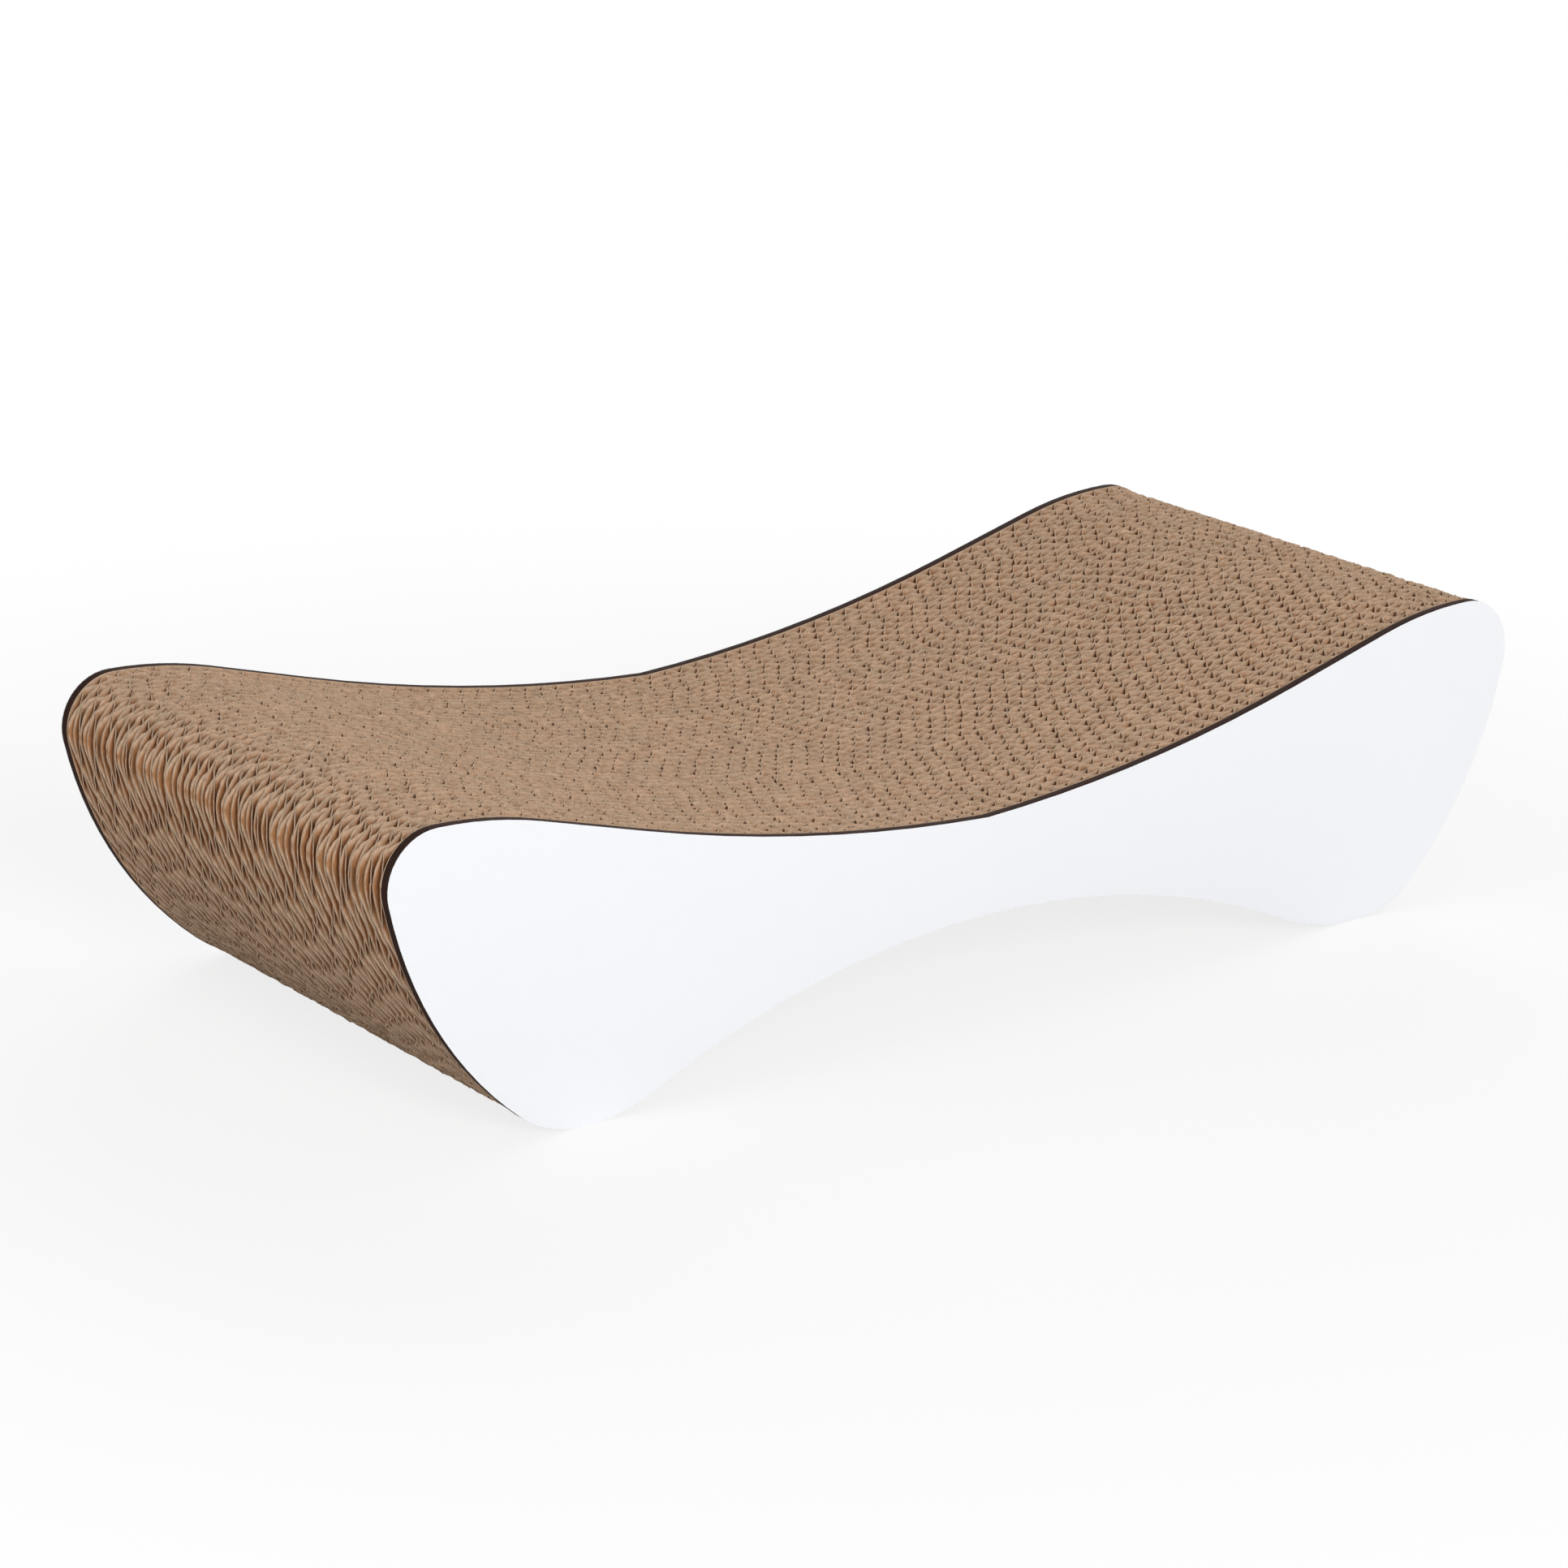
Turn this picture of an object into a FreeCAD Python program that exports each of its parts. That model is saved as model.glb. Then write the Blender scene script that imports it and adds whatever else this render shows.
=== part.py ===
import FreeCAD, Part

import math
import os
from dataclasses import dataclass

import Sketcher

# A curved lounge scratcher for a cat. Identical die-cut sheets of double-wall corrugated cardboard
# stand on edge and are glued face to face, and a thin hardboard side panel of the same outline closes
# the stack at each side. Each sheet is drawn as one board of its full thickness: its two fluted layers
# run upright between three liners, and its flutes are too fine and too many for this model.
#
# Frame: +X runs from the low rounded nose to the high tail, +Y from the front side panel to the back
# one, and +Z is up. The origin is on the floor, under the middle of the length and of the width.

# Driving dimensions, in millimetres. The count is a plain number.
SIZES = {
    # the whole
    "overall_length": 600.0,
    "nose_height": 136.0,
    "tail_height": 139.0,
    # the stack, across the width
    "sheet_count": 21,
    "sheet_thickness": 11.0,
    "panel_thickness": 4.5,
    # nose: a small round tip, a flatter crown above it and a full front below it
    "nose_tip_radius": 22.0,
    "nose_crown_radius": 185.0,
    "nose_front_radius": 180.0,
    # tail: the same three curves
    "tail_tip_radius": 27.0,
    "tail_crown_radius": 190.0,
    "tail_back_radius": 182.0,
    # lying surface: a straight run down from each crown and two hollow curves that meet in a soft crease
    "nose_run_length": 50.0,
    "tail_run_length": 55.0,
    "nose_hollow_radius": 820.0,
    "tail_hollow_radius": 790.0,
    "crease_height": 89.5,
    "crease_setback": 5.0,
    # feet: a short flat between an outer and an inner round, each flat's place measured from its own end
    "foot_flat_length": 6.0,
    "nose_foot_inset": 91.5,
    "nose_foot_outer_radius": 46.0,
    "nose_foot_inner_radius": 62.0,
    "tail_foot_inset": 79.5,
    "tail_foot_outer_radius": 42.0,
    "tail_foot_inner_radius": 104.0,
    # the arch between the feet
    "arch_radius": 408.0,
}

SHEET_NAME = "Sizes"
PARTS_FOLDER = "parts"

# the sketch's own references: its origin point and its horizontal axis
SKETCH_ORIGIN = (-1, 1)
SKETCH_AXIS = -1
# the points of an edge, as the sketcher numbers them
EDGE_START = 1
EDGE_END = 2
EDGE_CENTRE = 3

# directions in the plane of the outline's sketch, and the way that the boards' thickness runs in the model
ALONG = FreeCAD.Vector(1, 0, 0)
UPWARD = FreeCAD.Vector(0, 1, 0)
SKETCH_NORMAL = FreeCAD.Vector(0, 0, 1)
ACROSS = FreeCAD.Vector(0, 1, 0)


@dataclass
class Stretch:
    """One edge of the outline. Its ends follow each other anticlockwise, with the cardboard on the left."""

    name: str
    start: FreeCAD.Vector
    end: FreeCAD.Vector
    centre: FreeCAD.Vector = None
    hollow: bool = False

    def edge(self):
        """The edge itself: a line where there is no centre, and otherwise an arc."""
        if self.centre is None:
            return Part.LineSegment(self.start, self.end)
        first, last = (self.end, self.start) if self.hollow else (self.start, self.end)
        circle = Part.Circle(self.centre, SKETCH_NORMAL, (first - self.centre).Length)
        return Part.ArcOfCircle(circle, bearing(self.centre, first), bearing(self.centre, last))

    def points(self):
        """The sketcher's numbers of the first and the last point, in the order of travel."""
        return (EDGE_END, EDGE_START) if self.hollow else (EDGE_START, EDGE_END)


# ---- plane geometry, in the sketch's own X and Y ----


def bearing(origin, point):
    """The angle of a point seen from an origin, in radians."""
    return math.atan2(point.y - origin.y, point.x - origin.x)


def towards(origin, target, distance):
    """The point that lies a distance from the origin on the way to the target."""
    return origin + (target - origin).normalize() * distance


def third_centre(left, left_reach, right, right_reach, above):
    """The point at the two reaches from two centres, above or below the line that joins them."""
    span = right - left
    along = (left_reach**2 - right_reach**2 + span.Length**2) / (2 * span.Length)
    rise = math.sqrt(left_reach**2 - along**2)
    direction = FreeCAD.Vector(span).normalize()
    normal = FreeCAD.Vector(-direction.y, direction.x, 0)
    return left + direction * along + normal * (rise if above else -rise)


def run_ends(crown, crown_radius, hollow, hollow_radius, anticlockwise):
    """The top and the foot of the straight run that joins a crown and a hollow without a corner."""
    span = hollow - crown
    tilt = math.degrees(math.acos((crown_radius + hollow_radius) / span.Length))
    turn = FreeCAD.Rotation(SKETCH_NORMAL, tilt if anticlockwise else -tilt)
    normal = turn.multVec(span.normalize())
    return crown + normal * crown_radius, hollow - normal * hollow_radius


def outline(size):
    """The outline's stretches, anticlockwise from the top of the nose."""
    half = size("overall_length") / 2

    nose_tip_radius = size("nose_tip_radius")
    nose_tip = FreeCAD.Vector(nose_tip_radius - half, size("nose_height") - nose_tip_radius, 0)
    nose_top = FreeCAD.Vector(nose_tip.x, size("nose_height"), 0)
    nose_crown_radius = size("nose_crown_radius")
    nose_crown = FreeCAD.Vector(nose_tip.x, nose_top.y - nose_crown_radius, 0)

    tail_tip_radius = size("tail_tip_radius")
    tail_tip = FreeCAD.Vector(half - tail_tip_radius, size("tail_height") - tail_tip_radius, 0)
    tail_top = FreeCAD.Vector(tail_tip.x, size("tail_height"), 0)
    tail_crown_radius = size("tail_crown_radius")
    tail_crown = FreeCAD.Vector(tail_tip.x, tail_top.y - tail_crown_radius, 0)

    # feet, each from the outer end of its flat to the inner one
    nose_flat_outer = FreeCAD.Vector(size("nose_foot_inset") - half, 0, 0)
    nose_flat_inner = nose_flat_outer + ALONG * size("foot_flat_length")
    nose_foot_outer = nose_flat_outer + UPWARD * size("nose_foot_outer_radius")
    nose_foot_inner = nose_flat_inner + UPWARD * size("nose_foot_inner_radius")
    tail_flat_outer = FreeCAD.Vector(half - size("tail_foot_inset"), 0, 0)
    tail_flat_inner = tail_flat_outer - ALONG * size("foot_flat_length")
    tail_foot_outer = tail_flat_outer + UPWARD * size("tail_foot_outer_radius")
    tail_foot_inner = tail_flat_inner + UPWARD * size("tail_foot_inner_radius")

    # front of the nose and back of the tail, each a curve that rounds a tip into a foot
    nose_front = third_centre(
        nose_tip,
        size("nose_front_radius") - nose_tip_radius,
        nose_foot_outer,
        size("nose_front_radius") - size("nose_foot_outer_radius"),
        above=True,
    )
    tail_back = third_centre(
        tail_foot_outer,
        size("tail_back_radius") - size("tail_foot_outer_radius"),
        tail_tip,
        size("tail_back_radius") - tail_tip_radius,
        above=True,
    )
    nose_front_top = towards(nose_front, nose_tip, size("nose_front_radius"))
    nose_front_foot = towards(nose_front, nose_foot_outer, size("nose_front_radius"))
    tail_back_foot = towards(tail_back, tail_foot_outer, size("tail_back_radius"))
    tail_back_top = towards(tail_back, tail_tip, size("tail_back_radius"))

    # arch
    arch = third_centre(
        nose_foot_inner,
        size("arch_radius") + size("nose_foot_inner_radius"),
        tail_foot_inner,
        size("arch_radius") + size("tail_foot_inner_radius"),
        above=False,
    )
    arch_nose = towards(arch, nose_foot_inner, size("arch_radius"))
    arch_tail = towards(arch, tail_foot_inner, size("arch_radius"))

    # lying surface
    crease = FreeCAD.Vector(-size("crease_setback"), size("crease_height"), 0)
    nose_hollow_radius = size("nose_hollow_radius")
    nose_hollow = third_centre(
        nose_crown,
        math.hypot(nose_crown_radius + nose_hollow_radius, size("nose_run_length")),
        crease,
        nose_hollow_radius,
        above=True,
    )
    nose_run_top, nose_run_foot = run_ends(
        nose_crown, nose_crown_radius, nose_hollow, nose_hollow_radius, anticlockwise=True
    )
    tail_hollow_radius = size("tail_hollow_radius")
    tail_hollow = third_centre(
        crease,
        tail_hollow_radius,
        tail_crown,
        math.hypot(tail_crown_radius + tail_hollow_radius, size("tail_run_length")),
        above=True,
    )
    tail_run_top, tail_run_foot = run_ends(
        tail_crown, tail_crown_radius, tail_hollow, tail_hollow_radius, anticlockwise=False
    )

    return [
        Stretch("nose_tip", nose_top, nose_front_top, nose_tip),
        Stretch("nose_front", nose_front_top, nose_front_foot, nose_front),
        Stretch("nose_foot_outer", nose_front_foot, nose_flat_outer, nose_foot_outer),
        Stretch("nose_flat", nose_flat_outer, nose_flat_inner),
        Stretch("nose_foot_inner", nose_flat_inner, arch_nose, nose_foot_inner),
        Stretch("arch", arch_nose, arch_tail, arch, hollow=True),
        Stretch("tail_foot_inner", arch_tail, tail_flat_inner, tail_foot_inner),
        Stretch("tail_flat", tail_flat_inner, tail_flat_outer),
        Stretch("tail_foot_outer", tail_flat_outer, tail_back_foot, tail_foot_outer),
        Stretch("tail_back", tail_back_foot, tail_back_top, tail_back),
        Stretch("tail_tip", tail_back_top, tail_top, tail_tip),
        Stretch("tail_crown", tail_top, tail_run_top, tail_crown),
        Stretch("tail_run", tail_run_top, tail_run_foot),
        Stretch("tail_hollow", tail_run_foot, crease, tail_hollow, hollow=True),
        Stretch("nose_hollow", crease, nose_run_foot, nose_hollow, hollow=True),
        Stretch("nose_run", nose_run_foot, nose_run_top),
        Stretch("nose_crown", nose_run_top, nose_top, nose_crown),
    ]


# ---- the parametric document ----


def add_size_sheet(doc):
    """The spreadsheet of driving dimensions, one row for each, with its name as the alias."""
    sheet = doc.addObject("Spreadsheet::Sheet", SHEET_NAME)
    for row, (name, value) in enumerate(SIZES.items(), start=1):
        sheet.set(f"A{row}", name)
        sheet.set(f"B{row}", str(value))
        sheet.setAlias(f"B{row}", name)
    doc.recompute()
    return sheet


def bind(sketch, name, formula, *reference):
    """Add a dimension to the sketch under a name, and tie it to the sheet."""
    index = sketch.addConstraint(Sketcher.Constraint(*reference))
    sketch.renameConstraint(index, name)
    sketch.setExpression(f"Constraints.{name}", formula)


def add_outline_sketch(doc, size):
    """The die's outline, upright along the length: every curve is tied to the sheet, and none is free."""
    sketch = doc.addObject("Sketcher::SketchObject", "die_outline")
    sketch.Placement = FreeCAD.Placement(FreeCAD.Vector(), FreeCAD.Rotation(ALONG, 90))
    stretches = outline(size)
    sketch.addGeometry([stretch.edge() for stretch in stretches])
    number = {stretch.name: index for index, stretch in enumerate(stretches)}

    # each stretch runs on into the next with no corner, except at the crease
    for index, stretch in enumerate(stretches):
        following = (index + 1) % len(stretches)
        ends = (index, stretch.points()[1], following, stretches[following].points()[0])
        joint = "Coincident" if stretch.name == "tail_hollow" else "Tangent"
        sketch.addConstraint(Sketcher.Constraint(joint, *ends))

    for name in ("nose_flat", "tail_flat"):
        edge = number[name]
        sketch.addConstraint(Sketcher.Constraint("Horizontal", edge))
        sketch.addConstraint(Sketcher.Constraint("PointOnObject", edge, EDGE_START, SKETCH_AXIS))
        length = size("foot_flat_length")
        ends = (edge, EDGE_START, edge, EDGE_END)
        bind(sketch, f"{name}_length", f"{SHEET_NAME}.foot_flat_length", "DistanceX", *ends, length)

    for end in ("nose", "tail"):
        centres = (number[f"{end}_tip"], EDGE_CENTRE, number[f"{end}_crown"], EDGE_CENTRE)
        sketch.addConstraint(Sketcher.Constraint("Vertical", *centres))

    for stretch in stretches:
        if stretch.centre is not None:
            name = f"{stretch.name}_radius"
            bind(sketch, name, f"{SHEET_NAME}.{name}", "Radius", number[stretch.name], size(name))

    add_places(sketch, number, size)
    return sketch


def add_places(sketch, number, size):
    """Place the tips, the feet, the crease and the two straight runs of the outline."""
    half = size("overall_length") / 2
    # the nose end lies at minus X and the tail end at plus X, so their distances run to and from the origin
    for end, to_the_right in (("nose", False), ("tail", True)):
        tip = (number[f"{end}_tip"], EDGE_CENTRE)
        reach = half - size(f"{end}_tip_radius")
        pair = (*SKETCH_ORIGIN, *tip) if to_the_right else (*tip, *SKETCH_ORIGIN)
        formula = f"{SHEET_NAME}.overall_length / 2 - {SHEET_NAME}.{end}_tip_radius"
        bind(sketch, f"{end}_reach", formula, "DistanceX", *pair, reach)

        rise = size(f"{end}_height") - size(f"{end}_tip_radius")
        formula = f"{SHEET_NAME}.{end}_height - {SHEET_NAME}.{end}_tip_radius"
        bind(sketch, f"{end}_tip_rise", formula, "DistanceY", *SKETCH_ORIGIN, *tip, rise)

        flat = (number[f"{end}_flat"], EDGE_END if to_the_right else EDGE_START)
        place = half - size(f"{end}_foot_inset")
        pair = (*SKETCH_ORIGIN, *flat) if to_the_right else (*flat, *SKETCH_ORIGIN)
        formula = f"{SHEET_NAME}.overall_length / 2 - {SHEET_NAME}.{end}_foot_inset"
        bind(sketch, f"{end}_foot_place", formula, "DistanceX", *pair, place)

    crease = (number["nose_hollow"], EDGE_END)
    setback = size("crease_setback")
    height = size("crease_height")
    formula = f"{SHEET_NAME}.crease_setback"
    bind(sketch, "crease_place", formula, "DistanceX", *crease, *SKETCH_ORIGIN, setback)
    formula = f"{SHEET_NAME}.crease_height"
    bind(sketch, "crease_rise", formula, "DistanceY", *SKETCH_ORIGIN, *crease, height)

    for name in ("nose_run", "tail_run"):
        length = size(f"{name}_length")
        bind(sketch, f"{name}_length", f"{SHEET_NAME}.{name}_length", "Distance", number[name], length)


def add_slab(doc, sketch, name, thickness, place):
    """A flat board cut to the outline, with its near face at a place across the width."""
    slab = doc.addObject("Part::Extrusion", name)
    slab.Label = name
    slab.Base = sketch
    slab.DirMode = "Custom"
    slab.Dir = ACROSS
    slab.Solid = True
    slab.setExpression("LengthFwd", thickness)
    slab.setExpression(".Placement.Base.y", place)
    return slab


def add_side_panels(doc, sketch):
    """The two hardboard side panels, one against each face of the stack."""
    thickness = f"{SHEET_NAME}.panel_thickness"
    half_stack = f"{SHEET_NAME}.sheet_count / 2 * {SHEET_NAME}.sheet_thickness"
    front = add_slab(doc, sketch, "side_panel_front", thickness, f"-{half_stack} - {thickness}")
    back = add_slab(doc, sketch, "side_panel_back", thickness, half_stack)
    return [front, back]


def add_sheets(doc, sketch, count):
    """The corrugated sheets, face to face from the front panel to the back one."""
    thickness = f"{SHEET_NAME}.sheet_thickness"
    sheets = []
    for index in range(count):
        place = f"({index} - {SHEET_NAME}.sheet_count / 2) * {thickness}"
        sheets.append(add_slab(doc, sketch, f"sheet_{index + 1:02d}", thickness, place))
    return sheets


def check(doc, pieces, sketch):
    """Stop if anything failed to build, or if the outline has a free dimension."""
    for item in doc.Objects:
        if "Invalid" in item.State or "Error" in item.State:
            raise RuntimeError(f"{item.Label} did not build: {item.State}")
    if not sketch.FullyConstrained:
        raise RuntimeError("the outline has a free dimension")
    for piece in pieces:
        if piece.Shape.isNull() or not piece.Shape.isValid():
            raise RuntimeError(f"{piece.Label} has no valid shape")


def main():
    """Build the document, check it and write one file for each piece."""
    doc = FreeCAD.newDocument("cat_scratcher")
    sheet = add_size_sheet(doc)

    def size(name):
        """The value of one driving dimension, read from the sheet."""
        return float(getattr(sheet, name))

    sketch = add_outline_sketch(doc, size)
    pieces = add_side_panels(doc, sketch) + add_sheets(doc, sketch, int(size("sheet_count")))
    doc.recompute()
    check(doc, pieces, sketch)

    os.makedirs(PARTS_FOLDER, exist_ok=True)
    for piece in pieces:
        piece.Shape.exportStep(f"{PARTS_FOLDER}/{piece.Label}.step")

    whole = FreeCAD.BoundBox()
    for piece in pieces:
        whole.add(piece.Shape.BoundBox)
    print(f"{len(pieces)} pieces, {whole.XLength:.2f} x {whole.YLength:.2f} x {whole.ZLength:.2f} mm")
    print(f"face of the outline: {pieces[0].Shape.Volume / size('panel_thickness'):.0f} square mm")


main()
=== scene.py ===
import logging
import math
import random
from dataclasses import dataclass, field
from enum import Enum

import bmesh
import bpy
from mathutils import Matrix, Vector


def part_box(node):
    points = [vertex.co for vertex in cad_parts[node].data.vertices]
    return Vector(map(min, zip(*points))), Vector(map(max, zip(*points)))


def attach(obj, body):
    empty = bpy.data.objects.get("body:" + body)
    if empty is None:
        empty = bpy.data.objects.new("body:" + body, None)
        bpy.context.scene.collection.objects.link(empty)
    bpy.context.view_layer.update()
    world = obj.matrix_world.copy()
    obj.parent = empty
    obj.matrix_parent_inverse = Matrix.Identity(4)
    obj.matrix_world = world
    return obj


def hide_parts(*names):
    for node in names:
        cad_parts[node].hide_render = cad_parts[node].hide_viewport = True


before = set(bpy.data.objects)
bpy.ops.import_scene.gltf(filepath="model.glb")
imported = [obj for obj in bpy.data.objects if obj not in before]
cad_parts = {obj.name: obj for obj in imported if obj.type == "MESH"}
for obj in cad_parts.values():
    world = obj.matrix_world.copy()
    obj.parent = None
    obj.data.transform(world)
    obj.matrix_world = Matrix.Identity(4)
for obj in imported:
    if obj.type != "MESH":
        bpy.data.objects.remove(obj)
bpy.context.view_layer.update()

# A curved lounge scratcher for a cat, dressed around its construction model. Lengths are in metres.
# +X runs from the nose to the tail, +Y from the front side panel to the back one, and +Z is up.

MM = 0.001
BODY = "root"

log = logging.getLogger("cat_scratcher")

Socket = bpy.types.NodeSocket
Colour = tuple[float, float, float]


class Side(Enum):
    """The two side panels, each by the name of its node."""

    FRONT = "side_panel_front"
    BACK = "side_panel_back"

    @property
    def outward(self) -> int:
        """The sign of the panel's outer face along Y."""
        return -1 if self is Side.FRONT else 1


class Slot(Enum):
    """The names of two material slots."""

    CARDBOARD = "corrugated_cardboard"
    HARDBOARD = "laminated_hardboard"


class Wiring:
    """Adds nodes to one tree and joins them, so that a formula in nodes reads like a formula."""

    def __init__(self, tree: bpy.types.NodeTree) -> None:
        """Keep the tree that the nodes go into."""
        self.tree = tree

    def node(self, kind: str, inputs: dict | None = None, **settings: object) -> bpy.types.Node:
        """Add a node.

        Args:
            kind: Blender's name of the node's type.
            inputs: A value or another node's socket for each named or numbered input.
            settings: The node's own properties.

        Returns:
            The new node.
        """
        node = self.tree.nodes.new(kind)
        for name, value in settings.items():
            setattr(node, name, value)
        for name, value in (inputs or {}).items():
            self.feed(node.inputs[name], value)
        return node

    def feed(self, target: Socket, value: object) -> None:
        """Join a socket to an input, or write a plain value on it.

        Args:
            target: The input.
            value: Another node's output, or a plain value.
        """
        if isinstance(value, Socket):
            self.tree.links.new(value, target)
        else:
            target.default_value = value

    def math(self, operation: str, *values: object) -> Socket:
        """The result of a Math node."""
        return self.node("ShaderNodeMath", dict(enumerate(values)), operation=operation).outputs[0]

    def clamp(self, value: Socket, low: object, high: object) -> Socket:
        """A value held between two limits."""
        return self.math("MINIMUM", self.math("MAXIMUM", value, low), high)

    def vector(self, x: object = 0.0, y: object = 0.0, z: object = 0.0) -> Socket:
        """A vector made of three values."""
        return self.node("ShaderNodeCombineXYZ", {"X": x, "Y": y, "Z": z}).outputs[0]

    def split(self, vector: Socket) -> list[Socket]:
        """The three values of a vector."""
        return list(self.node("ShaderNodeSeparateXYZ", {0: vector}).outputs)

    def noise(self, vector: Socket, scale: float, detail: float = 0.0) -> Socket:
        """Smooth noise of about 0 to 1, with a number of features for each metre."""
        inputs = {"Vector": vector, "Scale": scale, "Detail": detail}
        return self.node("ShaderNodeTexNoise", inputs).outputs[0]

    def centred_noise(self, vector: Socket, scale: float, reach: object) -> Socket:
        """Smooth noise of about minus reach to plus reach."""
        around_zero = self.math("MULTIPLY_ADD", self.noise(vector, scale), 2.0, -1.0)
        return self.math("MULTIPLY", around_zero, reach)

    def store(self, geometry: Socket, name: str, value: Socket, kind: str, domain: str) -> Socket:
        """Write a named attribute on a geometry.

        Args:
            geometry: The geometry.
            name: The attribute's name.
            value: What it holds.
            kind: Blender's name of its data type.
            domain: Whether a point or a face has it.

        Returns:
            The geometry with the attribute.
        """
        inputs = {"Geometry": geometry, "Name": name, "Value": value}
        return self.node(
            "GeometryNodeStoreNamedAttribute", inputs, data_type=kind, domain=domain
        ).outputs[0]


# ---- finishes ----

# the attributes that the papers' material reads: a tone for each paper, and a share that is 1 at the cut and
# 0 from a little inside it, where the blade no longer reached; the material makes the paper paler at the cut
# for its fraying, and darker further in as painted shade of the flute pockets
PLY_TONE = "ply_tone"
FRAY_AND_SHADE = "fray_and_shade"


@dataclass(frozen=True)
class Finish:
    """A surface that is made of nodes, in the piece's own coordinates."""

    name: str

    def start(self) -> tuple[bpy.types.Material, Wiring, bpy.types.Node, Socket]:
        """Make an empty material.

        Returns:
            The material, its wiring, its shader and the Object coordinates.
        """
        material = bpy.data.materials.new(self.name)
        material.use_nodes = True
        wiring = Wiring(material.node_tree)
        shader = material.node_tree.nodes["Principled BSDF"]
        place = wiring.node("ShaderNodeTexCoord").outputs["Object"]
        return material, wiring, shader, place

    def blend(
        self, wiring: Wiring, share: Socket, first: object, second: object, way: str = "MIX"
    ) -> Socket:
        """A colour between two others.

        Args:
            wiring: The material's wiring.
            share: How much of the second colour goes in.
            first: A colour or a socket.
            second: A colour or a socket.
            way: Blender's name of the way the two are blended.

        Returns:
            The blended colour.
        """
        mix = wiring.node("ShaderNodeMix", {"Factor": share}, data_type="RGBA", blend_type=way)
        for socket, colour in ((mix.inputs[6], first), (mix.inputs[7], second)):
            wiring.feed(socket, colour if isinstance(colour, Socket) else (*colour, 1.0))
        return mix.outputs[2]

    def vary_roughness(
        self, wiring: Wiring, shader: bpy.types.Node, share: Socket, roughness: float, spread: float
    ) -> None:
        """Let a field of 0 to 1 move the roughness around its middle value.

        Args:
            wiring: The material's wiring.
            shader: The material's shader.
            share: The field.
            roughness: The middle value.
            spread: The difference between the lowest and the highest value.
        """
        varied = wiring.math("MULTIPLY_ADD", share, spread, roughness - spread / 2)
        wiring.feed(shader.inputs["Roughness"], varied)

    def raise_bump(self, wiring: Wiring, shader: bpy.types.Node, height: Socket, depth: float) -> None:
        """Give the shader a relief of a height field.

        Args:
            wiring: The material's wiring.
            shader: The material's shader.
            height: The height field, of 0 to 1.
            depth: The relief's depth in metres.
        """
        inputs = {"Strength": 1.0, "Distance": depth, "Height": height}
        bump = wiring.node("ShaderNodeBump", inputs)
        wiring.feed(shader.inputs["Normal"], bump.outputs[0])


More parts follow.
